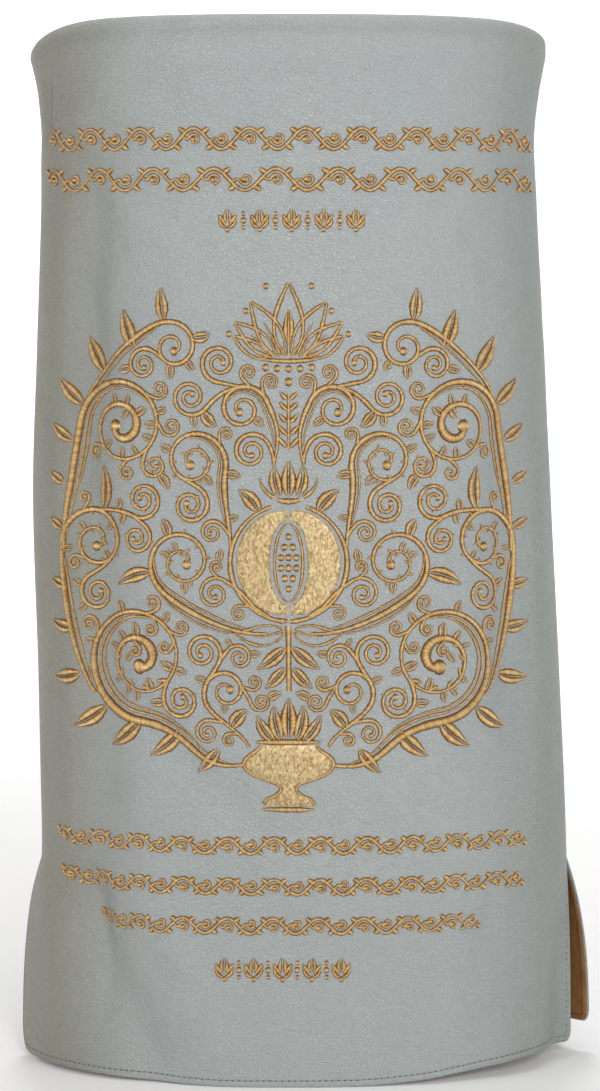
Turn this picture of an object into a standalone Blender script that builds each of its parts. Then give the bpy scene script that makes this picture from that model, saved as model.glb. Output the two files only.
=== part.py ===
"""Torah mantle: a lined leather cover that drops over a rolled scroll, in metres, +Z up.

The origin is the middle of the underside of the oval top, where the scroll carries the mantle.
+X is to the right of the embroidered front, which faces -Y. The walls hang down to the hem.
"""

import math
from collections import namedtuple

import bmesh
import bpy
import numpy as np

LEATHER_THICKNESS = 0.0016
GAP = 0.0003

# The wall's two layers. inset is how far a layer stops short of the seams, slits and hem, proud is how far it
# is moved out of the leather's inner face, and side is 1 where its thickness grows outwards and -1 inwards.
Layer = namedtuple("Layer", "name thickness inset hem_inset proud side has_shoulder")
PANEL = Layer("panel", LEATHER_THICKNESS, GAP / 2, 0.0, 0.0, 1, True)
LINING = Layer("lining", 0.0010, 0.0014, 0.0014, -GAP, -1, False)

TOP_THICKNESS = 0.0075
TOP_MARGIN = 0.008

# The rounded shoulder between the flat top and the upright wall: how far it reaches in and how far down.
Shoulder = namedtuple("Shoulder", "inward down")
SHOULDERS = {
    "left": Shoulder(0.042, 0.026),
    "middle": Shoulder(0.023, 0.022),
    "right": Shoulder(0.031, 0.016),
}

HOLE_RADIUS = 0.0225
HOLE_SPACING = 0.160

HEM_HEIGHT = -0.6925
SLIT_TOP = -0.5580
BACK_HEM_RISE = 0.005
ROUNDNESS = 2.25
HALF_GIRTH = 0.240

COLUMNS = 28
EDGE_STRIP = 0.008
SHOULDER_ROWS = 5
BODY_ROWS = 13
BODY_ROW_SPREAD = 1.2
FLAP_ROWS = 6
TOP_OUTLINE_POINTS = 56
HOLE_POINTS = 28

# Half-widths of the mantle from its middle line at each height, with its leather inner face as the surface.
Section = namedtuple("Section", "height left right front back")
SECTIONS = (
    Section(-0.0165, 0.1740, 0.1682, 0.0990, 0.0990),
    Section(-0.0380, 0.1692, 0.1643, 0.0955, 0.0960),
    Section(-0.0650, 0.1665, 0.1611, 0.0935, 0.0940),
    Section(-0.1120, 0.1668, 0.1627, 0.0940, 0.0950),
    Section(-0.2120, 0.1702, 0.1684, 0.0960, 0.0975),
    Section(-0.3000, 0.1735, 0.1726, 0.0985, 0.1000),
    Section(-0.4370, 0.1706, 0.1801, 0.1010, 0.1025),
    Section(-0.5450, 0.1692, 0.1852, 0.1030, 0.1045),
    Section(HEM_HEIGHT, 0.1697, 0.1868, 0.1060, 0.1070),
)

# How far each flap's free edge has swung out at the hem, how far the hem is drawn up there, and its corner.
Flap = namedtuple("Flap", "outward forward lift corner")
FLAPS = {
    ("front", "left"): Flap(0.0130, 0.002, 0.002, 0.018),
    ("front", "right"): Flap(0.0025, 0.006, 0.017, 0.006),
    ("back", "left"): Flap(0.0025, -0.012, 0.004, 0.012),
    ("back", "right"): Flap(0.0150, 0.003, 0.012, 0.010),
}
FLAP_REACH = 0.30
FLAP_BEND = 2.0
SLIT_SPREAD = 3.0
LIFT_START = 0.20
LIFT_END = 0.90

# Soft ridges and troughs. Each runs between two points, given as the distance right of the middle and the
# height, and rise is how far it stands out of the wall, below zero for a trough.
Fold = namedtuple("Fold", "side from_x from_height to_x to_height width rise")
FOLDS = (
    Fold("front", -0.151, -0.150, -0.155, -0.300, 0.010, 0.0020),
    Fold("front", -0.130, -0.120, -0.134, -0.290, 0.014, -0.0030),
    Fold("front", -0.150, -0.330, -0.146, -0.520, 0.011, 0.0018),
    Fold("front", -0.125, -0.340, -0.122, -0.500, 0.014, -0.0020),
    Fold("front", -0.105, -0.440, -0.030, -0.515, 0.016, -0.0026),
    Fold("front", -0.070, -0.520, -0.010, -0.545, 0.016, 0.0020),
    Fold("front", -0.156, -0.590, -0.150, -0.640, 0.011, 0.0020),
    Fold("front", -0.135, -0.575, -0.100, -0.660, 0.016, -0.0032),
    Fold("front", -0.085, -0.585, -0.055, -0.650, 0.015, 0.0022),
    Fold("front", 0.158, -0.300, 0.164, -0.500, 0.010, 0.0016),
    Fold("front", 0.138, -0.270, 0.142, -0.440, 0.012, -0.0024),
    Fold("front", 0.130, -0.600, 0.125, -0.660, 0.016, -0.0022),
    Fold("back", -0.110, -0.110, -0.125, -0.360, 0.014, -0.0026),
    Fold("back", -0.060, -0.420, 0.050, -0.500, 0.016, 0.0022),
    Fold("back", 0.120, -0.150, 0.130, -0.400, 0.013, -0.0028),
    Fold("back", 0.080, -0.560, 0.095, -0.670, 0.017, 0.0026),
    Fold("back", -0.095, -0.560, -0.110, -0.670, 0.016, 0.0024),
    Fold("back", -0.010, -0.580, -0.005, -0.680, 0.018, -0.0024),
)
FOLD_END_FADE = 0.035

LEATHER_COLOUR = (0.42, 0.45, 0.44, 1.0)
SUEDE_COLOUR = (0.15, 0.065, 0.026, 1.0)


def clear_scene():
    """An empty scene."""
    for item in list(bpy.data.objects):
        bpy.data.objects.remove(item)


def new_material(name, colour, roughness):
    """A plain surface with the piece's colour."""
    material = bpy.data.materials.new(name)
    material.use_nodes = True
    shader = material.node_tree.nodes["Principled BSDF"]
    shader.inputs["Base Color"].default_value = colour
    shader.inputs["Roughness"].default_value = roughness
    shader.inputs["Metallic"].default_value = 0.0
    return material


def smooth_step(value):
    """0 below 0, 1 above 1, and a soft rise between."""
    share = min(1.0, max(0.0, value))
    return share * share * (3 - 2 * share)


def section_value(column, height):
    """A column of SECTIONS at any height, on one smooth line through the table's rows."""
    heights = np.array([row.height for row in SECTIONS])[::-1]
    values = np.array([getattr(row, column) for row in SECTIONS])[::-1]
    slopes = np.gradient(values, heights)
    place = int(np.clip(np.searchsorted(heights, height) - 1, 0, len(heights) - 2))
    step = heights[place + 1] - heights[place]
    share = min(1.0, max(0.0, (height - heights[place]) / step))
    rise, ease = share**3, share**2
    return (
        (2 * rise - 3 * ease + 1) * values[place]
        + (rise - 2 * ease + share) * step * slopes[place]
        + (3 * ease - 2 * rise) * values[place + 1]
        + (rise - ease) * step * slopes[place + 1]
    )


def oval_point(side, across, reach, depth):
    """(x, y, normal x, normal y) on an oval. across runs from -1 at the left seam to 1 at the right one."""
    angle = 0.5 * math.pi * across
    wide, deep = abs(math.sin(angle)), abs(math.cos(angle))
    stretch = (wide**ROUNDNESS + deep**ROUNDNESS) ** (-1 / ROUNDNESS)
    x = math.copysign(reach * wide * stretch, across)
    y = depth * deep * stretch
    normal_x = math.copysign((wide * stretch) ** (ROUNDNESS - 1) / reach, across)
    normal_y = (deep * stretch) ** (ROUNDNESS - 1) / depth
    length = math.hypot(normal_x, normal_y)
    facing = -1 if side == "front" else 1
    return x, facing * y, normal_x / length, facing * normal_y / length


def section_point(side, across, height):
    """(x, y, normal x, normal y) of the wall's plan at a height."""
    reach = section_value("right" if across > 0 else "left", height)
    return oval_point(side, across, reach, section_value(side, height))


def fold_rise(side, x, height):
    """How far the folds move the wall outwards at a point."""
    total = 0.0
    for fold in FOLDS:
        if fold.side != side:
            continue
        run_x, run_z = fold.to_x - fold.from_x, fold.to_height - fold.from_height
        length = math.hypot(run_x, run_z)
        away_x, away_z = x - fold.from_x, height - fold.from_height
        along = (away_x * run_x + away_z * run_z) / length
        aside = (away_x * run_z - away_z * run_x) / length
        past_end = max(-along, along - length, 0.0)
        total += fold.rise * math.exp(-((aside / fold.width) ** 2) - (past_end / FOLD_END_FADE) ** 2)
    return total


def hem_height(side, across):
    """The height of a panel's lower edge, with its corners rounded and drawn up a little."""
    flap = FLAPS[side, "right" if across > 0 else "left"]
    from_edge = (1 - abs(across)) * HALF_GIRTH
    share = max(0.0, 1 - from_edge / flap.corner)
    corner = flap.corner * (1 - math.sqrt(max(0.0, 1 - share * share)))
    base = HEM_HEIGHT + (BACK_HEM_RISE if side == "back" else 0.0)
    return base + corner + flap.lift * smooth_step((abs(across) - LIFT_START) / (LIFT_END - LIFT_START))


def wall_point(side, across, height, proud):
    """A point of the hanging wall. proud moves it out of the leather's inner face."""
    x, y, normal_x, normal_y = section_point(side, across, height)
    out = proud + fold_rise(side, x, height)
    flap = FLAPS[side, "right" if across > 0 else "left"]
    dropped = min(1.0, max(0.0, (SLIT_TOP - height) / (SLIT_TOP - HEM_HEIGHT)))
    opened = 1 - (1 - dropped) ** SLIT_SPREAD
    near_edge = max(0.0, (abs(across) - FLAP_REACH) / (1 - FLAP_REACH)) ** FLAP_BEND
    swing = opened * near_edge
    return (
        x + normal_x * out + math.copysign(flap.outward * swing, across),
        y + normal_y * out - flap.forward * swing,
        height,
    )


def shoulder_foot(across):
    """The height at which the shoulder turns into the upright wall, eased from a panel's middle to its sides."""
    end = SHOULDERS["right" if across > 0 else "left"]
    middle = SHOULDERS["middle"]
    return TOP_THICKNESS - middle.down - (end.down - middle.down) * across * across


def top_oval_point(side, across, margin):
    """(x, y) on the edge of the flat top, or inside it by a margin."""
    end = "right" if across > 0 else "left"
    reach = section_value(end, SECTIONS[0].height) - SHOULDERS[end].inward - margin
    depth = section_value(side, SECTIONS[0].height) - SHOULDERS["middle"].inward - margin
    x, y, _, _ = oval_point(side, across, reach, depth)
    return x, y


def shoulder_point(side, across, turn, margin):
    """A point of the rounded shoulder: turn is 0 on the upright wall and a quarter turn on the flat top."""
    foot = shoulder_foot(across)
    x, y, _, _ = section_point(side, across, foot)
    top_x, top_y = top_oval_point(side, across, margin)
    rise = TOP_THICKNESS - LEATHER_THICKNESS - foot
    share = math.cos(turn)
    return top_x + (x - top_x) * share, top_y + (y - top_y) * share, foot + rise * math.sin(turn)


def layer_rows(layer, side):
    """One function of across for each row of a layer, from the top seam down to the hem."""
    rows = []
    if layer.has_shoulder:
        quarter = 0.5 * math.pi
        rows.append(lambda across: shoulder_point(side, across, quarter, TOP_MARGIN))
        for step in range(SHOULDER_ROWS):
            turn = quarter * (1 - step / SHOULDER_ROWS)
            rows.append(lambda across, turn=turn: shoulder_point(side, across, turn, 0.0))
    for step in range(BODY_ROWS):
        share = (step / BODY_ROWS) ** BODY_ROW_SPREAD

        def body_row(across, share=share):
            highest = shoulder_foot(across)
            return wall_point(side, across, highest + (SLIT_TOP - highest) * share, layer.proud)

        rows.append(body_row)
    for step in range(FLAP_ROWS + 1):
        share = step / FLAP_ROWS

        def flap_row(across, share=share):
            lowest = hem_height(side, across) + layer.hem_inset
            return wall_point(side, across, SLIT_TOP + (lowest - SLIT_TOP) * share, layer.proud)

        rows.append(flap_row)
    return rows


def column_place(position):
    """Where a grid column lies across the panel: evenly spaced, with a narrow strip along each free edge."""
    evenly = 1 - 2 / COLUMNS
    if abs(position) > evenly + 1 / COLUMNS:
        return math.copysign(1.0, position)
    return position / evenly * (1 - EDGE_STRIP / HALF_GIRTH)


def new_sheet(layer, side, material):
    """A sheet of leather or suede: a grid laid on the mantle's wall, with its thickness from Solidify."""
    rows = layer_rows(layer, side)
    widest = 1 - layer.inset / HALF_GIRTH
    name = f"{side}_{layer.name}"
    mesh = bpy.data.meshes.new(name)
    shape = bmesh.new()
    bmesh.ops.create_grid(shape, x_segments=COLUMNS, y_segments=len(rows) - 1, size=1.0)
    for corner in shape.verts:
        row = round((1 - corner.co.y) / 2 * (len(rows) - 1))
        corner.co = rows[row](column_place(corner.co.x) * widest)
    if side == "back":
        bmesh.ops.reverse_faces(shape, faces=shape.faces)
    shape.to_mesh(mesh)
    shape.free()
    sheet = bpy.data.objects.new(name, mesh)
    sheet.data.materials.append(material)
    sheet.data.shade_smooth()
    solid = sheet.modifiers.new("thickness", "SOLIDIFY")
    solid.thickness = layer.thickness
    solid.offset = layer.side
    solid.use_even_offset = True
    return sheet


def new_top(material):
    """The stiff oval top with the two round holes for the scroll's staves."""
    outline = bpy.data.curves.new("top_panel", "CURVE")
    outline.dimensions = "2D"
    outline.fill_mode = "BOTH"
    outline.extrude = TOP_THICKNESS / 2
    oval = []
    for side, direction in (("front", 1), ("back", -1)):
        for step in range(TOP_OUTLINE_POINTS // 2):
            across = direction * (2 * step / (TOP_OUTLINE_POINTS / 2) - 1)
            oval.append(top_oval_point(side, across, TOP_MARGIN + GAP))
    loops = [oval]
    for hole_x in (-HOLE_SPACING / 2, HOLE_SPACING / 2):
        turns = [2 * math.pi * step / HOLE_POINTS for step in range(HOLE_POINTS)]
        loops.append([
            (hole_x + HOLE_RADIUS * math.cos(turn), HOLE_RADIUS * math.sin(turn))
            for turn in turns
        ])
    for loop in loops:
        spline = outline.splines.new("POLY")
        spline.points.add(len(loop) - 1)
        for point, (x, y) in zip(spline.points, loop):
            point.co = (x, y, 0, 1)
        spline.use_cyclic_u = True
    top = bpy.data.objects.new("top_panel", outline)
    top.location.z = TOP_THICKNESS / 2
    outline.materials.append(material)
    return top


def main():
    clear_scene()
    collection = bpy.data.collections.new("torah_mantle")
    bpy.context.scene.collection.children.link(collection)
    leather = new_material("pale grey leather", LEATHER_COLOUR, 0.55)
    suede = new_material("brown suede", SUEDE_COLOUR, 0.95)
    pieces = [new_top(leather)]
    for side in ("front", "back"):
        pieces.append(new_sheet(PANEL, side, leather))
        pieces.append(new_sheet(LINING, side, suede))
    for piece in pieces:
        collection.objects.link(piece)


main()
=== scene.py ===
import math
import random
from collections import namedtuple

import bmesh
import bpy
import numpy as np
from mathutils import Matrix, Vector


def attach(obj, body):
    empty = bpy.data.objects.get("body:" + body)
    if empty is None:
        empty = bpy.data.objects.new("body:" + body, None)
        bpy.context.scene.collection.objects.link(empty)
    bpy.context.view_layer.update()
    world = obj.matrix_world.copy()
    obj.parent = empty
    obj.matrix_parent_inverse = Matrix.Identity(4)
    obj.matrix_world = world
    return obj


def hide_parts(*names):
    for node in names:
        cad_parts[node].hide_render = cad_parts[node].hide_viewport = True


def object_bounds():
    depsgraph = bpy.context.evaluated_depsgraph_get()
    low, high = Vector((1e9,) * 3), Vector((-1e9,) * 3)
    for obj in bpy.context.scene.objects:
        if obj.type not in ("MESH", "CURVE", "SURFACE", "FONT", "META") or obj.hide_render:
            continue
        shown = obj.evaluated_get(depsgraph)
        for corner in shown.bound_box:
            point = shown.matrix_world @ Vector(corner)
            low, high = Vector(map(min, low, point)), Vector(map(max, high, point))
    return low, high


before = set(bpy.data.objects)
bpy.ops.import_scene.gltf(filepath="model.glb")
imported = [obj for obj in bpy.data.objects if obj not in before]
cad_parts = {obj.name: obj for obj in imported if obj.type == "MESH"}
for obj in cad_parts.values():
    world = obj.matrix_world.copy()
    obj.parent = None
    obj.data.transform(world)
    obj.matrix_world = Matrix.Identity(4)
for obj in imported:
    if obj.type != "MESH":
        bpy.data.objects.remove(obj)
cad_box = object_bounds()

# Camera
# It stands 2.4 m in front of the mantle, a little right of its middle and below its top, and looks slightly
# down, as in the photo. The focal length and the horizon's place are in pixels of the 600 x 1091 photo.
MM = 0.001
PHOTO_HEIGHT = 1091
FOCAL_PIXELS = 3550
HORIZON_RISE = 300.5
CAMERA_PLACE = (0.0054, -2.4, -0.142)
SENSOR = 36.0


def add_camera():
    lens = bpy.data.cameras.new("camera")
    lens.sensor_fit = "VERTICAL"
    lens.sensor_height = SENSOR
    lens.lens = SENSOR * FOCAL_PIXELS / PHOTO_HEIGHT
    lens.clip_start = 0.05
    camera = bpy.data.objects.new("camera", lens)
    camera.location = CAMERA_PLACE
    camera.rotation_euler = (math.pi / 2 - math.atan(HORIZON_RISE / FOCAL_PIXELS), 0, 0)
    bpy.context.scene.collection.objects.link(camera)
    bpy.context.scene.camera = camera


add_camera()


# Studio
# A round white cove: a level floor under the hem that curves up into a wall all round, bright by itself as
# evenly lit paper is. One soft lamp stands in front, one hangs over the top and one whitens the far wall.
FLOOR_DROP = 0.001
FLOOR_REACH = 8.0
COVE_RADIUS = 1.5
COVE_HEIGHT = 7.0
Lamp = namedtuple("Lamp", "place aim size power colour")
LAMPS = {
    "key": Lamp((0.45, -3.0, 0.55), (0.02, 0, -0.30), 0.6, 41, "#FFFFFF"),
    "top": Lamp((0.1, -0.6, 1.9), (0, 0, 0), 1.5, 10, "#FFFAF0"),
    "left": Lamp((-2.4, 0.9, 0.1), (0, 0, -0.3), 1.4, 2.6, "#FFA860"),
    "paper": Lamp((0.0, 3.6, 4.4), (0, 7.5, -0.5), 2.0, 340, "#FFFFFF"),
}
DAYLIGHT = "#F6F8FC"
DAYLIGHT_STRENGTH = 0.25


def linear(code):
    """A hex sRGB colour as linear red, green, blue and alpha."""
    values = [int(code[place:place + 2], 16) / 255 for place in (1, 3, 5)]
    return tuple(v / 12.92 if v <= 0.04045 else ((v + 0.055) / 1.055) ** 2.4 for v in values) + (1.0,)


def add_node(tree, kind, links=None, **settings):
    """A node with its settings, with links and plain values for its inputs by name or number."""
    node = tree.nodes.new(kind)
    for name, value in settings.items():
        setattr(node, name, value)
    for name, value in (links or {}).items():
        if isinstance(value, bpy.types.NodeSocket):
            tree.links.new(value, node.inputs[name])
        else:
            node.inputs[name].default_value = value
    return node


def new_surface(name, **values):
    """A material with one Principled shader, and the shader's plain values by their socket's name."""
    material = bpy.data.materials.new(name)
    material.use_nodes = True
    shader = material.node_tree.nodes["Principled BSDF"]
    for socket, value in values.items():
        shader.inputs[socket.replace("_", " ")].default_value = value
    return material, material.node_tree, shader


def link_object(name, mesh, material):
    piece = bpy.data.objects.new(name, mesh)
    bpy.context.scene.collection.objects.link(piece)
    mesh.materials.append(material)
    mesh.shade_smooth()
    return piece


def add_cove():
    """White background paper: matt, and bright enough to stay white where the lamps fall off."""
    material, _, shader = new_surface(
        "background_paper", Base_Color=linear("#F7F7F7"), Roughness=0.9, Emission_Strength=0.10,
    )
    shader.inputs["Emission Color"].default_value = linear("#FFFFFF")
    floor = cad_box[0][2] - FLOOR_DROP
    shape = bmesh.new()
    middle = shape.verts.new((0, 0, floor))
    corner = shape.verts.new((FLOOR_REACH, 0, floor))
    shape.edges.new((middle, corner))
    curve = bmesh.ops.spin(
        shape, geom=[corner], cent=(FLOOR_REACH, 0, floor + COVE_RADIUS), axis=(0, -1, 0),
        angle=math.pi / 2, steps=16,
    )
    rim = next(item for item in curve["geom_last"] if isinstance(item, bmesh.types.BMVert))
    shape.edges.new((rim, shape.verts.new((FLOOR_REACH + COVE_RADIUS, 0, floor + COVE_HEIGHT))))
    bmesh.ops.spin(
        shape, geom=list(shape.verts) + list(shape.edges), cent=(0, 0, 0), axis=(0, 0, 1),
        angle=math.tau, steps=96, use_merge=True,
    )
    bmesh.ops.remove_doubles(shape, verts=shape.verts, dist=1e-5)
    bmesh.ops.recalc_face_normals(shape, faces=shape.faces)
    mesh = bpy.data.meshes.new("cove")
    shape.to_mesh(mesh)
    shape.free()
    link_object("cove", mesh, material)


def add_lamps():
    for name, lamp in LAMPS.items():
        light = bpy.data.lights.new(name, "AREA")
        light.shape = "DISK"
        light.size = lamp.size
        light.energy = lamp.power
        light.color = linear(lamp.colour)[:3]
        piece = bpy.data.objects.new(name, light)
        place = np.array(lamp.place)
        aim = np.array(lamp.aim) - place
        flat = math.hypot(aim[0], aim[1])
        piece.location = lamp.place
        piece.rotation_euler = (math.atan2(flat, -aim[2]), 0, math.atan2(aim[1], aim[0]) - math.pi / 2)
        bpy.context.scene.collection.objects.link(piece)
    world = bpy.data.worlds.new("daylight")
    world.use_nodes = True
    sky = world.node_tree.nodes["Background"]
    sky.inputs["Color"].default_value = linear(DAYLIGHT)
    sky.inputs["Strength"].default_value = DAYLIGHT_STRENGTH
    bpy.context.scene.world = world
    bpy.context.scene.view_settings.view_transform = "Standard"


add_cove()
add_lamps()


# Leather panels, front and back
# Each is one sheet of pale grey nappa leather, 1.6 mm thick. It is turned in over the stiff top, sewn to the
# other at the sides down to the slits, and turned under at slits and hem, so those edges are rolled.
LEATHER = 1.6 * MM
TOP_HEIGHT = 7.5 * MM
TOP_MARGIN = 8 * MM
HEM_HEIGHT = -0.6925
SLIT_TOP = -0.5580
BACK_HEM_RISE = 5 * MM
ROUNDNESS = 2.25
HALF_GIRTH = 0.240
Section = namedtuple("Section", "height left right front back")
SECTIONS = (
    Section(-0.0165, 0.1740, 0.1682, 0.0990, 0.0990),
    Section(-0.0380, 0.1692, 0.1643, 0.0955, 0.0960),
    Section(-0.0650, 0.1665, 0.1611, 0.0935, 0.0940),
    Section(-0.1120, 0.1668, 0.1627, 0.0940, 0.0950),
    Section(-0.2120, 0.1702, 0.1684, 0.0960, 0.0975),
    Section(-0.3000, 0.1735, 0.1726, 0.0985, 0.1000),
    Section(-0.4370, 0.1706, 0.1801, 0.1010, 0.1025),
    Section(-0.5450, 0.1692, 0.1852, 0.1030, 0.1045),
    Section(HEM_HEIGHT, 0.1697, 0.1868, 0.1060, 0.1070),
)
Shoulder = namedtuple("Shoulder", "inward down")
SHOULDERS = {
    "left": Shoulder(50 * MM, 26 * MM),
    "middle": Shoulder(23 * MM, 22 * MM),
    "right": Shoulder(39 * MM, 16 * MM),
}
Flap = namedtuple("Flap", "outward forward lift corner lip")
FLAPS = {
    ("front", "left"): Flap(12 * MM, 2 * MM, 3.5 * MM, 20 * MM, 1.5 * MM),
    ("front", "right"): Flap(-13.7 * MM, 6 * MM, 11 * MM, 6.5 * MM, 15.6 * MM),
    ("back", "left"): Flap(2.5 * MM, -12 * MM, 4 * MM, 12 * MM, 0.0),
    ("back", "right"): Flap(4.6 * MM, 3 * MM, 14 * MM, 7 * MM, 12 * MM),
}
FLAP_REACH = 0.30
FLAP_BEND = 1.5
LIP_REACH = 34 * MM
SLIT_SPREAD = 3.0
LIFT_START = 0.10
LIFT_END = 0.68
FOLD_END_FADE = 0.035
FOLD_DEPTH = 1.7
# Soft ridges and troughs: from and to are (right of the middle, height), rise is below zero for a trough.
Fold = namedtuple("Fold", "side from_x from_height to_x to_height width rise")
FOLDS = (
    Fold("front", -0.151, -0.150, -0.155, -0.300, 0.010, 0.0020),
    Fold("front", -0.130, -0.120, -0.134, -0.290, 0.014, -0.0030),
    Fold("front", -0.150, -0.330, -0.146, -0.520, 0.011, 0.0018),
    Fold("front", -0.125, -0.340, -0.122, -0.500, 0.014, -0.0020),
    Fold("front", -0.105, -0.440, -0.030, -0.515, 0.016, -0.0026),
    Fold("front", -0.070, -0.520, -0.010, -0.545, 0.016, 0.0020),
    Fold("front", -0.156, -0.590, -0.150, -0.640, 0.011, 0.0020),
    Fold("front", -0.135, -0.575, -0.100, -0.660, 0.016, -0.0042),
    Fold("front", -0.085, -0.585, -0.055, -0.650, 0.015, 0.0022),
    Fold("front", 0.158, -0.300, 0.164, -0.500, 0.010, 0.0016),
    Fold("front", 0.138, -0.270, 0.142, -0.440, 0.012, -0.0024),
    Fold("front", 0.130, -0.600, 0.125, -0.660, 0.016, -0.0022),
    Fold("back", -0.110, -0.110, -0.125, -0.360, 0.014, -0.0026),
    Fold("back", -0.060, -0.420, 0.050, -0.500, 0.016, 0.0022),
    Fold("back", 0.120, -0.150, 0.130, -0.400, 0.013, -0.0028),
    Fold("back", 0.080, -0.560, 0.095, -0.670, 0.017, 0.0026),
    Fold("back", -0.095, -0.560, -0.110, -0.670, 0.016, 0.0024),
    Fold("back", -0.010, -0.580, -0.005, -0.680, 0.018, -0.0024),
)
# Slighter creases that only show in a raking light, with the tight pucker at the left of the shoulder.
CREASES = (
    Fold("front", -0.1605, -0.038, -0.1600, -0.066, 0.0028, -0.0020),
    Fold("front", -0.1480, -0.070, -0.1300, -0.046, 0.0100, 0.0010),
    Fold("front", -0.1330, -0.086, -0.0900, -0.112, 0.0090, -0.0010),
    Fold("front", -0.128, -0.575, -0.124, -0.640, 0.0080, -0.0022),
    Fold("front", -0.100, -0.600, -0.060, -0.640, 0.0070, -0.0008),
    Fold("front", -0.140, -0.655, -0.095, -0.668, 0.0060, -0.0008),
    Fold("front", -0.136, -0.180, -0.120, -0.230, 0.0100, -0.0010),
    Fold("front", 0.120, -0.140, 0.150, -0.180, 0.0080, -0.0008),
    Fold("front", 0.132, -0.590, 0.150, -0.625, 0.0080, -0.0010),
    Fold("front", -0.150, -0.040, -0.118, -0.062, 0.0090, -0.0007),
    Fold("front", -0.142, -0.052, -0.120, -0.100, 0.0080, 0.0006),
    Fold("front", -0.112, -0.150, -0.096, -0.235, 0.0110, -0.0006),
    Fold("front", -0.090, -0.440, -0.055, -0.475, 0.0080, 0.0006),
    Fold("front", -0.060, -0.470, -0.020, -0.490, 0.0070, -0.0005),
    Fold("front", -0.120, -0.540, -0.075, -0.590, 0.0080, -0.0008),
    Fold("front", -0.020, -0.560, 0.020, -0.650, 0.0120, -0.0006),
    Fold("front", 0.050, -0.440, 0.085, -0.480, 0.0090, -0.0005),
    Fold("front", 0.100, -0.480, 0.140, -0.560, 0.0100, 0.0006),
    Fold("front", 0.090, -0.600, 0.105, -0.680, 0.0090, -0.0007),
    Fold("front", 0.145, -0.050, 0.135, -0.110, 0.0090, -0.0007),
    Fold("back", -0.140, -0.060, -0.120, -0.110, 0.0090, -0.0009),
    Fold("back", 0.060, -0.240, 0.075, -0.380, 0.0110, -0.0007),
    Fold("back", -0.050, -0.180, -0.040, -0.330, 0.0120, 0.0006),
    Fold("back", 0.030, -0.520, 0.045, -0.640, 0.0100, -0.0008),
    Fold("back", -0.140, -0.480, -0.130, -0.600, 0.0090, -0.0008),
)
# The rolled edge's section: how far it stands out at each distance from the edge, with the stitched groove.
EDGE_DISTANCES = np.array([0.0, 0.7, 1.6, 2.5, 3.0, 3.5, 4.0, 4.8, 6.0]) * MM
EDGE_HEIGHTS = np.array([-0.75, -0.15, 0.22, 0.20, -0.02, -0.30, -0.05, 0.10, 0.0]) * MM
EDGE_COLUMNS = np.array([0.0, 0.4, 0.8, 1.4, 2.0, 2.6, 3.1, 3.5, 3.9, 4.4, 5.2, 6.4, 8.2]) * MM
EDGE_RATE = 0.165
PANEL_COLUMNS = 160
SHOULDER_ROWS = 14
BODY_ROWS = 140
FLAP_ROWS = 26


def smooth_step(value):
    share = np.clip(value, 0.0, 1.0)
    return share * share * (3 - 2 * share)


def section_value(column, height):
    """A column of SECTIONS at any heights, on one smooth line through the table's rows."""
    heights = np.array([row.height for row in SECTIONS])[::-1]
    values = np.array([getattr(row, column) for row in SECTIONS])[::-1]
    slopes = np.gradient(values, heights)
    place = np.clip(np.searchsorted(heights, height) - 1, 0, len(heights) - 2)
    step = heights[place + 1] - heights[place]
    share = np.clip((height - heights[place]) / step, 0.0, 1.0)
    rise, ease = share**3, share**2
    return (
        (2 * rise - 3 * ease + 1) * values[place]
        + (rise - 2 * ease + share) * step * slopes[place]
        + (3 * ease - 2 * rise) * values[place + 1]
        + (rise - ease) * step * slopes[place + 1]
    )


def oval(side, across, reach, depth):
    """x, y and the outward direction on an oval. across is -1 at the left seam and 1 at the right one."""
    angle = 0.5 * math.pi * across
    wide, deep = np.abs(np.sin(angle)), np.abs(np.cos(angle))
    stretch = (wide**ROUNDNESS + deep**ROUNDNESS) ** (-1 / ROUNDNESS)
    out_x = np.copysign((wide * stretch) ** (ROUNDNESS - 1) / reach, across)
    out_y = (deep * stretch) ** (ROUNDNESS - 1) / depth
    length = np.hypot(out_x, out_y)
    facing = -1 if side == "front" else 1
    return (
        np.copysign(reach * wide * stretch, across), facing * depth * deep * stretch,
        out_x / length, facing * out_y / length,
    )


def by_hand(across, left, right):
    """The left or the right value, by the half of the panel that a point is in."""
    return np.where(across > 0, right, left)


def section_oval(side, across, height):
    reach = by_hand(across, section_value("left", height), section_value("right", height))
    return oval(side, across, reach, section_value(side, height))


def fold_rise(side, x, height):
    """How far folds and creases move the wall out."""
    total = np.zeros(np.broadcast(x, height).shape)
    for fold in FOLDS + CREASES:
        if fold.side != side:
            continue
        run_x, run_z = fold.to_x - fold.from_x, fold.to_height - fold.from_height
        length = math.hypot(run_x, run_z)
        away_x, away_z = x - fold.from_x, height - fold.from_height
        along = (away_x * run_x + away_z * run_z) / length
        aside = (away_x * run_z - away_z * run_x) / length
        past_end = np.maximum(np.maximum(-along, along - length), 0.0)
        fade = min(FOLD_END_FADE, 2.5 * fold.width)
        total = total + FOLD_DEPTH * fold.rise * np.exp(-((aside / fold.width) ** 2) - (past_end / fade) ** 2)
    return total


def flap_value(side, across, name):
    return by_hand(across, getattr(FLAPS[side, "left"], name), getattr(FLAPS[side, "right"], name))


def hem_height(side, across):
    """The height of a panel's lower edge, with its corners rounded and drawn up a little."""
    corner = flap_value(side, across, "corner")
    share = np.clip(1 - (1 - np.abs(across)) * HALF_GIRTH / corner, 0.0, 1.0)
    rounding = corner * (1 - np.sqrt(1 - share * share))
    return hem_base(side, across) + rounding


def hem_base(side, across):
    """The lower edge without its rounded corners."""
    lift = flap_value(side, across, "lift") * smooth_step((np.abs(across) - LIFT_START) / (LIFT_END - LIFT_START))
    return HEM_HEIGHT + (BACK_HEM_RISE if side == "back" else 0.0) + lift


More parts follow.
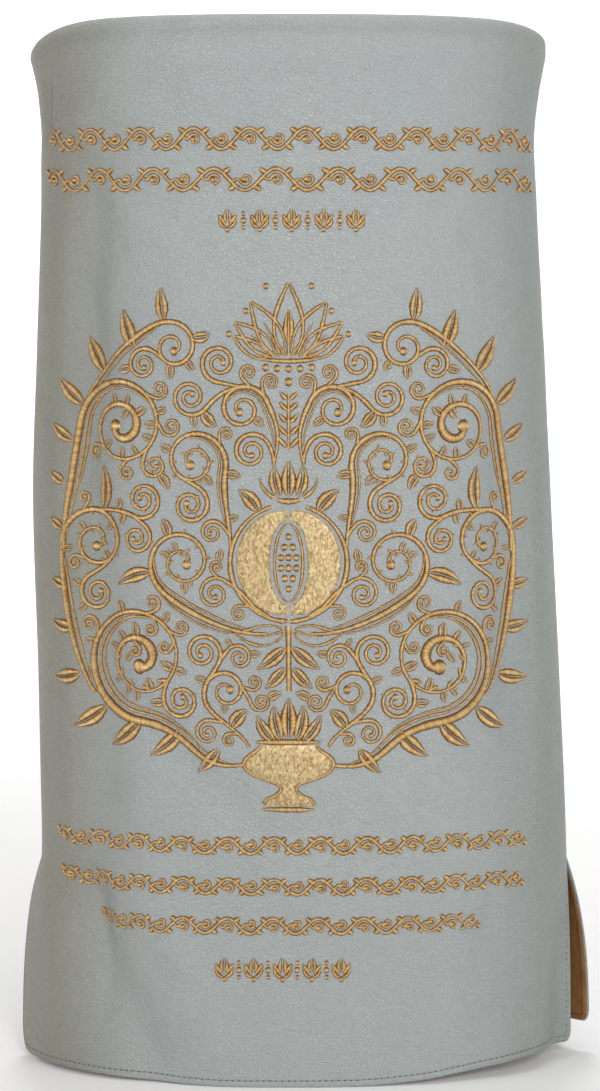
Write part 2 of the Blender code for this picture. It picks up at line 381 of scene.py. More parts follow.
def edge_distance(side, across, height):
    """How far a point lies in from the panel's sides and hem, round the corners too."""
    corner = flap_value(side, across, "corner")
    from_side = (1 - np.abs(across)) * EDGE_RATE
    from_hem = height - hem_base(side, across)
    flat = corner * EDGE_RATE / HALF_GIRTH
    side_share = np.clip(1 - from_side / flat, 0.0, 1.0)
    hem_share = np.clip(1 - from_hem / corner, 0.0, 1.0)
    reach = np.hypot(side_share, hem_share)
    slope = np.hypot(side_share / flat, hem_share / corner)
    rounded = (1 - reach) * reach / np.maximum(slope, 1e-6)
    in_corner = (side_share > 0) & (hem_share > 0)
    return np.maximum(np.where(in_corner, rounded, np.minimum(from_side, from_hem)), 0.0)


def wall(side, across, height, proud):
    """Points of the hanging wall, as rows of x, y, z. proud moves them out of the leather's inner face."""
    across, height, proud = np.broadcast_arrays(across, height, proud)
    x, y, out_x, out_y = section_oval(side, across, height)
    out = proud + fold_rise(side, x, height)
    dropped = np.clip((SLIT_TOP - height) / (SLIT_TOP - HEM_HEIGHT), 0.0, 1.0)
    opened = 1 - (1 - dropped) ** SLIT_SPREAD
    swing = opened * np.clip((np.abs(across) - FLAP_REACH) / (1 - FLAP_REACH), 0.0, None) ** FLAP_BEND
    turned = opened * np.clip(1 - (1 - np.abs(across)) * EDGE_RATE / LIP_REACH, 0.0, None) ** 2
    lip = flap_value(side, across, "lip") * turned
    return np.stack((
        x + out_x * out + np.sign(across) * (flap_value(side, across, "outward") * swing + lip),
        y + out_y * out - flap_value(side, across, "forward") * swing + (0.8 if side == "back" else -0.8) * lip,
        height,
    ), axis=-1)


def over_wall(side, across, height, lift):
    """Points off the wall's inner face, with lift measured square to it where the edge is turned too."""
    nudge = 1e-3
    aside = (
        wall(side, np.minimum(across + nudge, 1.0), height, 0.0)
        - wall(side, np.maximum(across - nudge, -1.0), height, 0.0)
    )
    up = wall(side, across, height + 1 * MM, 0.0) - wall(side, across, height - 1 * MM, 0.0)
    square = np.cross(aside, up) * (1 if side == "front" else -1)
    return wall(side, across, height, 0.0) + lift * square / np.linalg.norm(square, axis=-1)[..., None]


def shoulder_foot(across):
    """The height at which the shoulder turns into the upright wall."""
    middle = SHOULDERS["middle"].down
    end = by_hand(across, SHOULDERS["left"].down, SHOULDERS["right"].down)
    return TOP_HEIGHT - middle - (end - middle) * across * across


def top_oval(side, across, margin):
    """x and y on the edge of the flat top, or inside it by a margin."""
    highest = SECTIONS[0]
    reach = by_hand(across, highest.left - SHOULDERS["left"].inward, highest.right - SHOULDERS["right"].inward)
    depth = getattr(highest, side) - SHOULDERS["middle"].inward
    x, y, _, _ = oval(side, across, reach - margin, depth - margin)
    return x, y


def shoulder(side, across, turn, margin, proud=0.0):
    """Points of the rounded shoulder: turn is 0 on the upright wall and a quarter turn on the flat top."""
    foot = shoulder_foot(across)
    share = math.cos(turn)
    low = wall(side, across, foot, 0.0)
    _, _, out_x, out_y = section_oval(side, across, foot)
    top_x, top_y = top_oval(side, across, margin)
    out = proud + edge_relief((1 - np.abs(across)) * EDGE_RATE)
    return np.stack((
        top_x + (low[..., 0] - top_x) * share + out_x * share * out,
        top_y + (low[..., 1] - top_y) * share + out_y * share * out,
        foot + (TOP_HEIGHT - LEATHER - foot) * math.sin(turn) + math.sin(turn) * out,
    ), axis=-1)


def edge_relief(distance):
    return np.interp(distance, EDGE_DISTANCES, EDGE_HEIGHTS)


def panel_points(side):
    """The panel's inner face as an array of rows of points, from the top seam down to the hem."""
    inner = np.linspace(-1, 1, PANEL_COLUMNS)
    strip = EDGE_COLUMNS / EDGE_RATE
    inner = inner[np.abs(inner) < 1 - strip[-1] * 1.15]
    across = np.concatenate((strip - 1, inner, (1 - strip)[::-1]))
    quarter = 0.5 * math.pi
    rows = [shoulder(side, across, quarter, TOP_MARGIN * part) for part in (1.0, 0.85, 0.55, 0.25)]
    rows[0][..., 2] -= 0.5 * MM
    for step in range(SHOULDER_ROWS):
        rows.append(shoulder(side, across, quarter * (1 - step / SHOULDER_ROWS), 0.0))
    highest = shoulder_foot(across)
    lowest = hem_height(side, across)
    heights = [highest + (SLIT_TOP - highest) * (step / BODY_ROWS) for step in range(BODY_ROWS)]
    last = EDGE_COLUMNS[-1]
    heights += [SLIT_TOP + (lowest + last - SLIT_TOP) * (step / FLAP_ROWS) for step in range(FLAP_ROWS)]
    heights += [lowest + distance for distance in EDGE_COLUMNS[::-1]]
    for height in heights:
        relief = edge_relief(edge_distance(side, across, height))
        rows.append(over_wall(side, across, height, relief[..., None]))
    return np.array(rows)


def grid_mesh(name, points):
    """A sheet's mesh: a grid whose corners lie on an array of rows of points."""
    rows, columns, _ = points.shape
    shape = bmesh.new()
    bmesh.ops.create_grid(shape, x_segments=columns - 1, y_segments=rows - 1, size=1.0)
    mesh = bpy.data.meshes.new(name)
    shape.to_mesh(mesh)
    shape.free()
    flat = np.empty(len(mesh.vertices) * 3, np.float32)
    mesh.vertices.foreach_get("co", flat)
    flat = flat.reshape(-1, 3)
    row = np.rint((1 - flat[:, 1]) / 2 * (rows - 1)).astype(int)
    column = np.rint((1 + flat[:, 0]) / 2 * (columns - 1)).astype(int)
    mesh.vertices.foreach_set("co", points[row, column].astype(np.float32).ravel())
    mesh.update()
    return mesh


def thicken(piece, thickness, offset):
    solid = piece.modifiers.new("thickness", "SOLIDIFY")
    solid.thickness = thickness
    solid.offset = offset


def nappa_leather():
    """Pale grey nappa: full-grain leather with a satin finish, so a fine pebble grain, drawn a little coarser
    than the real 0.8 mm, soft clouds in the colour, and a weak broad sheen. The colour is painted a little darker
    in the grain's creases, as painted shade. Towards both sides it is painted darker, as painted shade where the
    light falls off round the mantle, and yellower at the left, as a painted warm reflection."""
    material, tree, shader = new_surface("nappa_leather", Roughness=0.5, Specular_IOR_Level=0.42, IOR=1.5)
    place = add_node(tree, "ShaderNodeTexCoord").outputs["Object"]
    slant = add_node(tree, "ShaderNodeMapping", {
        "Vector": place, "Rotation": (0, math.radians(118), 0), "Scale": (1.0, 1.0, 1.6),
    }, vector_type="TEXTURE")
    cells = add_node(tree, "ShaderNodeTexVoronoi", {
        "Vector": slant.outputs[0], "Scale": 1 / (1.9 * MM), "Randomness": 1.0,
    }, feature="DISTANCE_TO_EDGE")
    pebbles = add_node(tree, "ShaderNodeMapRange", {
        "Value": cells.outputs["Distance"], "From Min": 0.0, "From Max": 0.22,
    }, interpolation_type="SMOOTHSTEP")
    wrinkles = add_node(tree, "ShaderNodeTexNoise", {
        "Vector": slant.outputs[0], "Scale": 1 / (2.6 * MM), "Detail": 2.0, "Roughness": 0.5,
    })
    grain = add_node(tree, "ShaderNodeMath", {
        0: pebbles.outputs[0], 1: 0.5, 2: wrinkles.outputs["Fac"],
    }, operation="MULTIPLY_ADD")
    pull = add_node(tree, "ShaderNodeTexNoise", {
        "Vector": slant.outputs[0], "Scale": 1 / (12 * MM), "Detail": 1.0, "Roughness": 0.5,
    })
    crumple = add_node(tree, "ShaderNodeTexNoise", {
        "Vector": place, "Scale": 1 / (55 * MM), "Detail": 1.0, "Roughness": 0.5,
    })
    fine = add_node(tree, "ShaderNodeBump", {
        "Height": grain.outputs[0], "Strength": 1.0, "Distance": 0.62 * MM,
    })
    soft = add_node(tree, "ShaderNodeBump", {
        "Height": pull.outputs["Fac"], "Normal": fine.outputs[0], "Strength": 0.45, "Distance": 1.0 * MM,
    })
    broad = add_node(tree, "ShaderNodeBump", {
        "Height": crumple.outputs["Fac"], "Normal": soft.outputs[0], "Strength": 0.9, "Distance": 5.0 * MM,
    })
    clouds = add_node(tree, "ShaderNodeTexNoise", {"Vector": place, "Scale": 1 / (110 * MM), "Detail": 1.0})
    tint = add_node(tree, "ShaderNodeMix", {
        "Factor": clouds.outputs["Fac"], 6: linear("#A5ABAB"), 7: linear("#ABB0AF"),
    }, data_type="RGBA")
    # Painted shade: the colour is a little darker where the grain is low, in the creases between the pebbles.
    dark = add_node(tree, "ShaderNodeMapRange", {
        "Value": grain.outputs[0], "From Min": 0.3, "From Max": 1.05, "To Min": 0.91, "To Max": 1.03,
    })
    shade = add_node(tree, "ShaderNodeMix", {
        "Factor": 1.0, 6: tint.outputs[2], 7: dark.outputs[0],
    }, data_type="RGBA", blend_type="MULTIPLY")
    gloss = add_node(tree, "ShaderNodeMapRange", {
        "Value": wrinkles.outputs["Fac"], "From Min": 0.3, "From Max": 0.7, "To Min": 0.52, "To Max": 0.40,
    })
    aside = add_node(tree, "ShaderNodeSeparateXYZ", {"Vector": place})
    # Painted shade: the colour is multiplied darker towards both sides, where the light falls off round the mantle, and
    # warmer at the left as a painted warm reflection.
    for start, end, painted_side_tint in ((-0.085, -0.165, "#E0DACA"), (0.100, 0.190, "#E2E4DF")):
        painted_side_shade = add_node(tree, "ShaderNodeMapRange", {
            "Value": aside.outputs["X"], "From Min": start, "From Max": end,
        }, interpolation_type="SMOOTHSTEP")
        shade = add_node(tree, "ShaderNodeMix", {
            "Factor": painted_side_shade.outputs[0], 6: shade.outputs[2], 7: linear(painted_side_tint),
        }, data_type="RGBA", blend_type="MULTIPLY")
    tree.links.new(shade.outputs[2], shader.inputs["Base Color"])
    tree.links.new(gloss.outputs[0], shader.inputs["Roughness"])
    tree.links.new(broad.outputs[0], shader.inputs["Normal"])
    return material


leather = nappa_leather()
panels = {}
for side in ("front", "back"):
    mesh = grid_mesh(f"{side}_leather", panel_points(side))
    if side == "back":
        mesh.flip_normals()
    panels[side] = link_object(f"{side}_leather", mesh, leather)
    thicken(panels[side], LEATHER, 1.0)
    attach(panels[side], "root")
    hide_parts(f"{side}_panel")


# Linings, front and back
# Brown pigskin suede, 1 mm, glued to the leather's inner face and caught by the topstitching, which shows on
# it as a line of small dents near the edge. It stops 1.4 mm short of the slits and the hem.
SUEDE = 1.0 * MM
LINING_INSET = 0.1 * MM
LINING_DROP = 0.3 * MM
LINING_COLUMNS = 100
LINING_ROWS = 120
LINING_FLAP_ROWS = 24


def lining_points(side):
    """The lining's outer face, from the shoulder's foot to just above the hem."""
    inset = LINING_INSET / HALF_GIRTH
    across = np.linspace(inset - 1, 1 - inset, LINING_COLUMNS)
    highest = shoulder_foot(across)
    lowest = hem_height(side, across) + LINING_INSET
    heights = [highest + (SLIT_TOP - highest) * (step / LINING_ROWS) for step in range(LINING_ROWS)]
    heights += [
        SLIT_TOP + (lowest - SLIT_TOP) * (step / LINING_FLAP_ROWS) for step in range(LINING_FLAP_ROWS + 1)
    ]
    return np.array([over_wall(side, across, height, -LINING_DROP) for height in heights])


def brown_suede():
    """Pigskin suede: brushed nap without gloss, which shows lighter and darker strokes and a velvety edge."""
    material, tree, shader = new_surface("brown_suede", Roughness=0.95, Specular_IOR_Level=0.15)
    shader.inputs["Sheen Weight"].default_value = 0.2
    shader.inputs["Sheen Roughness"].default_value = 0.5
    shader.inputs["Sheen Tint"].default_value = linear("#B98A5E")
    place = add_node(tree, "ShaderNodeTexCoord").outputs["Object"]
    strokes_way = add_node(tree, "ShaderNodeMapping", {
        "Vector": place, "Rotation": (0, math.radians(-24), 0), "Scale": (1.0, 1.0, 0.35),
    })
    nap = add_node(tree, "ShaderNodeTexNoise", {
        "Vector": strokes_way.outputs[0], "Scale": 1 / (6 * MM), "Detail": 5.0, "Roughness": 0.7,
    })
    hairs = add_node(tree, "ShaderNodeTexNoise", {
        "Vector": place, "Scale": 1 / (0.9 * MM), "Detail": 2.0, "Roughness": 0.7,
    })
    colour = add_node(tree, "ShaderNodeMix", {
        "Factor": nap.outputs["Fac"], 6: linear("#472D16"), 7: linear("#B7814F"),
    }, data_type="RGBA")
    bump = add_node(tree, "ShaderNodeBump", {
        "Height": hairs.outputs["Fac"], "Strength": 0.5, "Distance": 0.4 * MM,
    })
    tree.links.new(colour.outputs[2], shader.inputs["Base Color"])
    tree.links.new(bump.outputs[0], shader.inputs["Normal"])
    return material


suede = brown_suede()
linings = {}
for side in ("front", "back"):
    mesh = grid_mesh(f"{side}_suede", lining_points(side))
    if side == "back":
        mesh.flip_normals()
    linings[side] = link_object(f"{side}_suede", mesh, suede)
    thicken(linings[side], SUEDE, -1.0)
    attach(linings[side], "root")
    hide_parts(f"{side}_lining")


# Top cover
# A stiff oval board covered in the same leather, let in flush between the panels' turned-in edges. Two round
# holes let the scroll's staves through. Their edges are rolled.
HOLE_RADIUS = 22.5 * MM
HOLE_SPACING = 160 * MM
TOP_SEGMENTS = 144
HOLE_SEGMENTS = 72
TOP_GAP = 0.3 * MM


def ring_edges(shape, start, steps):
    """Rings of edges stepped from a first ring: each step is a function of a corner's place."""
    edges = start
    for step in steps:
        lifted = bmesh.ops.extrude_edge_only(shape, edges=edges)["geom"]
        edges = [item for item in lifted if isinstance(item, bmesh.types.BMEdge)]
        for item in lifted:
            if isinstance(item, bmesh.types.BMVert):
                item.co = step(item.co)
    return edges


def oval_ring(shape, margin, height):
    """A ring of edges on the flat top's outline."""
    ring = bmesh.ops.create_circle(shape, segments=TOP_SEGMENTS, radius=1.0)["verts"]
    for corner in ring:
        across = 2 / math.pi * math.asin(max(-1.0, min(1.0, corner.co.x)))
        x, y = top_oval("front" if corner.co.y < 0 else "back", across, margin)
        corner.co = (x, y, height)
    return list({edge for corner in ring for edge in corner.link_edges})


def rolled_ring(shape, first, centre, sizes):
    """A rolled edge round a centre: sizes are each ring's scale about it and its height."""
    def placed(scale, height):
        return lambda place: (
            centre[0] + (place.x - centre[0]) * scale, centre[1] + (place.y - centre[1]) * scale, height,
        )
    return ring_edges(shape, first, [placed(scale, height) for scale, height in sizes])


def add_top():
    shape = bmesh.new()
    upper, lower = [], []
    edge = oval_ring(shape, TOP_MARGIN + TOP_GAP + 1.6 * MM, TOP_HEIGHT)
    upper += edge
    rim = rolled_ring(shape, edge, (0, 0), (
        (1.006, TOP_HEIGHT - 0.12 * MM), (1.005, TOP_HEIGHT - 0.5 * MM), (1.002, TOP_HEIGHT - 1.2 * MM),
        (1.0, 0.0),
    ))
    lower += rim
    for x in (-HOLE_SPACING / 2, HOLE_SPACING / 2):
        ring = bmesh.ops.create_circle(shape, segments=HOLE_SEGMENTS, radius=HOLE_RADIUS + 2.6 * MM)["verts"]
        bmesh.ops.translate(shape, verts=ring, vec=(x, 0, TOP_HEIGHT))
        edge = list({edge for corner in ring for edge in corner.link_edges})
        upper += edge
        start = HOLE_RADIUS + 2.6 * MM
        reach = [2.0, 1.3, 0.7, 0.25, 0.0, 0.0]
        drop = [-0.18, -0.22, -0.05, 0.45, 1.3, 7.5]
        sizes, before = [], start
        for out, down in zip(reach, drop):
            sizes.append(((HOLE_RADIUS + out * MM) / before, TOP_HEIGHT - down * MM))
            before = HOLE_RADIUS + out * MM
        lower += rolled_ring(shape, edge, (x, 0), sizes)
    bmesh.ops.triangle_fill(shape, edges=upper, use_beauty=True)
    bmesh.ops.triangle_fill(shape, edges=lower, use_beauty=True)
    bmesh.ops.recalc_face_normals(shape, faces=shape.faces)
    mesh = bpy.data.meshes.new("top_cover")
    shape.to_mesh(mesh)
    shape.free()
    top = link_object("top_cover", mesh, leather)
    mesh.set_sharp_from_angle(angle=math.radians(50))
    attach(top, "root")
    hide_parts("top_panel")


add_top()


# Topstitching
# Pale grey polyester thread, 3.5 mm in from slits, hem and top seam. Between the stitches, where the thread is
# drawn down into the groove, each needle hole is a small dark disc: painted shade for the hole.
STITCH_PITCH = 4.1 * MM
STITCH_LINE = 3.5 * MM
STITCH_RADIUS = 0.42 * MM
HOLE_DOT = 0.78 * MM


def evenly_spaced(points, pitch):
    """Points at an even pitch along a line, and the line's direction at each."""
    gaps = np.linalg.norm(np.diff(points, axis=0), axis=1)
    travelled = np.concatenate(([0.0], np.cumsum(gaps)))
    stops = np.linspace(0, travelled[-1], max(2, round(travelled[-1] / pitch)) + 1)
    places = np.stack([np.interp(stops, travelled, points[:, axis]) for axis in range(3)], axis=-1)
    ways = np.gradient(places, axis=0)
    return places, ways / np.linalg.norm(ways, axis=1)[:, None]


def hem_stitch_line(side):
    """The stitched line down one slit, along the hem and up the other slit, and the same line lifted off."""
    across, height = [], []
    for hand in (-1, 1):
        flap = FLAPS[side, "right" if hand > 0 else "left"]
        flat = flap.corner * EDGE_RATE / HALF_GIRTH
        way_across = [1 - STITCH_LINE / EDGE_RATE] * 30
        base = float(hem_base(side, np.array(hand * 1.0)))
        way_height = list(np.linspace(SLIT_TOP + 6 * MM, base + flap.corner, 30))
        for turn in np.linspace(0, 0.5 * math.pi, 12)[1:]:
            aside = max(flat - STITCH_LINE, 1.0 * MM) * math.cos(turn)
            way_across.append(1 - (flat - aside) / EDGE_RATE)
            level = float(hem_base(side, np.array(hand * way_across[-1])))
            way_height.append(level + flap.corner - max(flap.corner - STITCH_LINE, 1.0 * MM) * math.sin(turn))
        for place in np.linspace(way_across[-1], 0, 60)[1:]:
            way_across.append(place)
            way_height.append(float(hem_base(side, np.array(hand * place))) + STITCH_LINE)
        order = slice(None) if hand < 0 else slice(None, None, -1)
        across += [hand * value for value in way_across][order]
        height += way_height[order]
    return np.array(across), np.array(height)


def add_stitches(name, lines, thread_look):
    """A row of stitches for each line: lines are (points on the surface, the same points lifted by 1 mm)."""
    thread, holes = bmesh.new(), bmesh.new()
    for points, lifted in lines:
        places, ways = evenly_spaced(points, STITCH_PITCH)
        gaps = np.linalg.norm(np.diff(points, axis=0), axis=1)
        travelled = np.concatenate(([0.0], np.cumsum(gaps)))
        stops = np.linspace(0, travelled[-1], len(places))
        outs = np.stack([np.interp(stops, travelled, (lifted - points)[:, axis]) for axis in range(3)], axis=-1)
        outs /= np.linalg.norm(outs, axis=1)[:, None]
        for place, way, out in zip(places, ways, outs):
            aside = np.cross(way, out)
            add_stitch(thread, place, way, out, aside)
            add_dot(holes, place - way * STITCH_PITCH / 2, way, out, aside)
    for shape, kind, material in ((thread, "thread", thread_look), (holes, "needle_holes", needle_dark)):
        bmesh.ops.recalc_face_normals(shape, faces=shape.faces)
        mesh = bpy.data.meshes.new(f"{name}_{kind}")
        shape.to_mesh(mesh)
        shape.free()
        piece = link_object(f"{name}_{kind}", mesh, material)
        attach(piece, "root")


def add_stitch(shape, place, way, out, aside):
    """One stitch: a short plump thread that lies along the groove and dives into the leather at both ends."""
    for corner in bmesh.ops.create_uvsphere(shape, u_segments=6, v_segments=6, radius=1.0)["verts"]:
        x, y, z = corner.co
        bow = 0.26 * (1 - z * z) - 0.18
        corner.co = place + way * z * STITCH_PITCH * 0.41 + (aside * x + out * 0.8 * y) * STITCH_RADIUS + out * bow * MM


def add_dot(shape, place, way, out, aside):
    """One needle hole: a small dark dished dot on the leather, painted shade for the hole."""
    made = bmesh.ops.create_cone(
        shape, cap_ends=True, segments=8, radius1=HOLE_DOT, radius2=HOLE_DOT * 0.7, depth=0.2 * MM,
    )["verts"]
    for corner in made:
        x, y, z = corner.co
        corner.co = place + way * x * 0.9 + aside * y * 0.8 + out * (z + 0.08 * MM)


def plain_thread(name, code):
    """Polyester sewing thread: smooth, with a slight shine."""
    material, _, _ = new_surface(name, Base_Color=linear(code), Roughness=0.45)
    return material


def needle_hole():
    """The shadowed inside of a needle hole in grey leather."""
    material, _, _ = new_surface("needle_hole", Base_Color=linear("#454238"), Roughness=0.9)
    return material


grey_thread = plain_thread("grey_thread", "#8F9390")
brown_thread = plain_thread("brown_thread", "#4A2F18")
needle_dark = needle_hole()


def lifted_pair(place_at):
    return place_at(0.0), place_at(1.0 * MM)


for side in ("front", "back"):
    across, height = hem_stitch_line(side)
    add_stitches(f"{side}_hem", [lifted_pair(
        lambda lift: over_wall(side, across, height, LEATHER - 0.12 * MM + lift)
    )], grey_thread)
    add_stitches(f"{side}_inner", [lifted_pair(
        lambda lift: over_wall(side, across, height, 0.1 * MM - LINING_DROP - SUEDE - lift)
    )], brown_thread)
ring_across = np.linspace(-1, 1, 240)
top_lines = []
for side in ("front", "back"):
    def top_seam_line(lift):
        x, y = top_oval(side, ring_across, TOP_MARGIN - STITCH_LINE)
        return np.stack((x, y, np.full_like(x, TOP_HEIGHT + lift)), axis=-1)
    top_lines.append(lifted_pair(top_seam_line))
for centre in (-HOLE_SPACING / 2, HOLE_SPACING / 2):
    turns = np.linspace(0, math.tau, 120)
    def hole_ring(lift):
        reach = HOLE_RADIUS + STITCH_LINE
        return np.stack((
            centre + reach * np.cos(turns), reach * np.sin(turns), np.full_like(turns, TOP_HEIGHT + lift),
        ), axis=-1)
    top_lines.append(lifted_pair(hole_ring))
add_stitches("top", top_lines, grey_thread)


# Embroidery
# Machine embroidery in gold rayon thread: satin stitch, whose threads lie across each stroke over a little
# padding, and flat fill stitch for the fruit. The medallion is the front's ornament, drawn here as strokes in
# millimetres from its middle, x to the right and y up. It is the same on both sides of its middle line.
MEDALLION_HEIGHT = -0.332
MEDALLION_SHIFT = -0.002
SATIN_BASE = -0.25
SATIN_LIFT = 0.55
SATIN_PADDING = 0.20
SATIN_MOST = 1.7
FILL_LIFT = 0.85
RAGGED = 0.22
FULLNESS = 1.12
Stroke = namedtuple("Stroke", "points widths kind")
strokes = []
stems = []


def curl(start, heading, length, bends, pace=1.2):
    """Points of a line from a point and heading in degrees. bends are its turns in degrees for each
    millimetre, at evenly spaced places along it."""
    count = max(6, round(length / pace))
    x, y = start
    angle = math.radians(heading)
    points = [(x, y)]
    for index in range(count):
        bend = np.interp((index + 0.5) / count, np.linspace(0, 1, len(bends)), bends)
        angle += math.radians(bend) * length / count
        x += math.cos(angle) * length / count
        y += math.sin(angle) * length / count
        points.append((x, y))
    return points


def along(points, share):
    """The point, and the heading in degrees, at a share of a line's length."""
    low = min(int(share * (len(points) - 1)), len(points) - 2)
    part = share * (len(points) - 1) - low
    (x0, y0), (x1, y1) = points[low], points[low + 1]
    return (x0 + (x1 - x0) * part, y0 + (y1 - y0) * part), math.degrees(math.atan2(y1 - y0, x1 - x0))


def satin(points, widths, both=True, kind="satin"):
    """A stroke of stitching with its widths along the way, and the same in the mirror."""
    strokes.append(Stroke(points, widths, kind))
    if both:
        strokes.append(Stroke([(-x, y) for x, y in points], widths, kind))
    return points


def bead(centre, radius, both=True):
    """A round dot of satin stitch."""
    shares = [index / 4 - 1 for index in range(9)]
    points = [(centre[0] + radius * share, centre[1]) for share in shares]
    satin(points, [2 * radius * max(0.35, math.sqrt(1 - share * share)) for share in shares], both)


def beside(middle, belly, side):
    """A line beside another one, at belly(share) from it."""
    line = []
    for index, (x, y) in enumerate(middle):
        share = index / (len(middle) - 1)
        turn = math.radians(along(middle, share)[1])
        line.append((x - math.sin(turn) * belly(share) * side, y + math.cos(turn) * belly(share) * side))
    return line


def leaf(base, heading, length, width, bend=0.0, both=True):
    """A leaf of two satin halves with a narrow vein between them."""
    middle = curl(base, heading, length, (bend, bend))
    for side in (-1, 1):
        half = beside(middle, lambda share: math.sin(math.pi * share**0.8) * width / 4 + 0.3, side)
        widths = [max(0.5, math.sin(math.pi * (index / 8) ** 0.8) * width / 2 - 0.4) for index in range(9)]
        satin(half, widths, both)
    return middle


def open_leaf(base, heading, length, width, bend=0.0, both=True, line=1.5):
    """A leaf drawn as an outline, with a vein in it."""
    middle = curl(base, heading, length, (bend, bend))
    for side in (-1, 1):
        edge = beside(middle, lambda share: math.sin(math.pi * share**0.75) * width / 2, side)
        satin(edge, (line * 0.7, line, line * 1.5, line * 0.8), both)
    satin(curl(base, heading, length * 0.62, (bend, bend)), (line * 1.2, line, 0.6), both)


def strand(points, first, last, away, width):
    """A thin second line beside a stem, at a distance from its middle."""
    low, high = int(first * (len(points) - 1)), int(last * (len(points) - 1))
    part = points[low:high + 1]
    satin(beside(part, lambda share: away * math.sin(math.pi * min(share * 1.15, 1.0)) ** 0.35, 1), (
        width * 0.5, width, width, width * 0.6,
    ))


def thorns(points, first, last, count, length, width):
    """Short pointed stitches along a line, first on one side and then on the other."""
    for index in range(count):
        place, heading = along(points, first + (last - first) * index / (count - 1))
        side = 1 if index % 2 else -1
        satin(curl(place, heading + side * 42, length, (side * 4, side * 9)), (width, width * 1.1, 0.6))


def leaflets(points, first, last, count, length, width, sides=(1, -1)):
    """Plump leaflets along a line, each a little smaller than the one before."""
    for index in range(count):
        step = index / (count - 1)
        place, heading = along(points, first + (last - first) * step)
        grow = 1 - 0.35 * step
        for side in sides:
            line = curl(place, heading + side * 40, length * grow, (side * 1.5, -side * 2.5))
            satin(line, (0.9, width * grow, width * 0.8 * grow, 0.5))


def scroll(start, heading, pull, centre, radius, entry, way, turns, inner, widths, both=True):
    """A stem that leaves a point at a heading, swings into a circle at the entry angle and winds in to the
    inner radius. way is 1 for anticlockwise."""
    winding = []
    count = max(10, round(math.tau * turns * (radius + inner) / 2 / 1.3))
    for index in range(count + 1):
        angle = math.radians(entry) + way * math.tau * turns * index / count
        reach = radius + (inner - radius) * (index / count) ** 0.85
        winding.append((centre[0] + reach * math.cos(angle), centre[1] + reach * math.sin(angle)))
    end, after = winding[0], winding[1]
    gap = math.dist(end, after)
    turn = math.radians(heading)
    first = (start[0] + pull * math.cos(turn), start[1] + pull * math.sin(turn))
    second = (end[0] - pull * (after[0] - end[0]) / gap, end[1] - pull * (after[1] - end[1]) / gap)
    lead = []
    steps = max(6, round(math.dist(start, end) * 1.1 / 1.3))
    for index in range(steps):
        t = index / steps
        weights = ((1 - t) ** 3, 3 * (1 - t) ** 2 * t, 3 * (1 - t) * t * t, t**3)
        corners = (start, first, second, end)
        lead.append(tuple(sum(w * corner[axis] for w, corner in zip(weights, corners)) for axis in (0, 1)))
    line = satin(lead + winding, widths, both)
    stems.append(line)
    return line


def pomegranate():
    """The fruit in the middle: two crescents of fill stitch beside an opening full of seeds, and its crown."""
    middle = -16.0
    turns = [math.radians(-90 + 7.5 * index) for index in range(25)]
    crescent = [(23.25 * math.cos(t), middle + 31 * math.sin(t)) for t in turns]
    widths = [max(3.5, math.hypot(23.5 * math.cos(t), 8 * math.sin(t)) - 1.4) for t in turns]
    satin(crescent, widths, True, "fill")
    rim = [(38.2 * math.cos(t), middle + 38.2 * math.sin(t)) for t in turns[:23]]
    stems.append(satin(rim, (3.2, 2.6, 3.4, 2.6, 2.2)))
    satin([(9.2 * math.cos(t), middle + 25.5 * math.sin(t)) for t in turns], (1.2, 1.8, 1.8, 1.2))
    for row in range(6):
        height = middle - 17 + 6.8 * row
        if row in (0, 5):
            bead((0, height), 2.1, False)
        elif row in (1, 4):
            bead((2.7, height), 2.2)
        else:
            bead((0, height), 2.2, False)
            bead((5.0, height), 2.1)
    satin([(-9, 25.5), (-4, 24.3), (0, 24), (4, 24.3), (9, 25.5)], (2.2, 3.4, 3.4, 2.2), False)
    leaf((0, 27), 90, 24, 9.5, 0, False)
    leaf((5.5, 27), 62, 22, 8.0, 1.6)
    satin(curl((9.5, 26.5), 28, 17, (2.0, 5.0)), (2.8, 2.4, 0.8))
    satin([(0, 53), (0, 68), (0, 84), (0, 97)], (1.2, 2.4, 2.2, 1.4), False)
    for height, length in ((59, 10.0), (67, 9.5), (75, 8.8), (83, 8.0), (90, 7.0)):
        satin(curl((0.8, height), 40, length, (3.0, -2.0), 0.9), (1.2, 3.2, 2.6, 0.6))
    bead((0, 101.5), 2.6, False)


def stalk_and_root():
    """The fruit's leafy stalk, and the leaves that stand in the urn."""
    satin([(0, -55), (0, -66), (0, -84), (0, -104)], (4.6, 3.6, 3.2, 4.2), False)
    stems.append([(1.5, -60 - 2 * step) for step in range(20)])
    open_leaf((3, -60), -24, 33, 13, 1.2)
    leaf((2, -71), -48, 24, 9, 0.8)
    leaf((2, -84), -56, 20, 8, 0.9)
    leaf((0, -131), 90, 27, 11, 0, False)
    leaf((5, -132), 64, 24, 9, 1.2)
    leaf((9, -133), 38, 22, 8, 1.6)


def urn():
    """The footed bowl under it all, in fill stitch with a satin rim, from which the lowest scrolls spring."""
    profile = (30, 31, 27, 15, 9, 8, 14, 30, 44, 52, 56, 57, 55, 50, 42, 36, 36)
    heights = [-176 + 2.6 * step for step in range(len(profile))]
    satin([(0, height) for height in heights], profile, False, "fill")
    side_line = [(wide / 2 + 0.9, height) for wide, height in zip(profile, heights)]
    satin(side_line, (2.0, 2.2, 2.6, 2.6, 2.0))
    satin([(x, -133.2) for x in range(-22, 23, 2)], (1.2, 3.4, 3.8, 3.4, 1.2), False)
    satin([(x, -177.6) for x in range(-18, 19, 2)], (1.2, 3.0, 3.2, 3.0, 1.2), False)


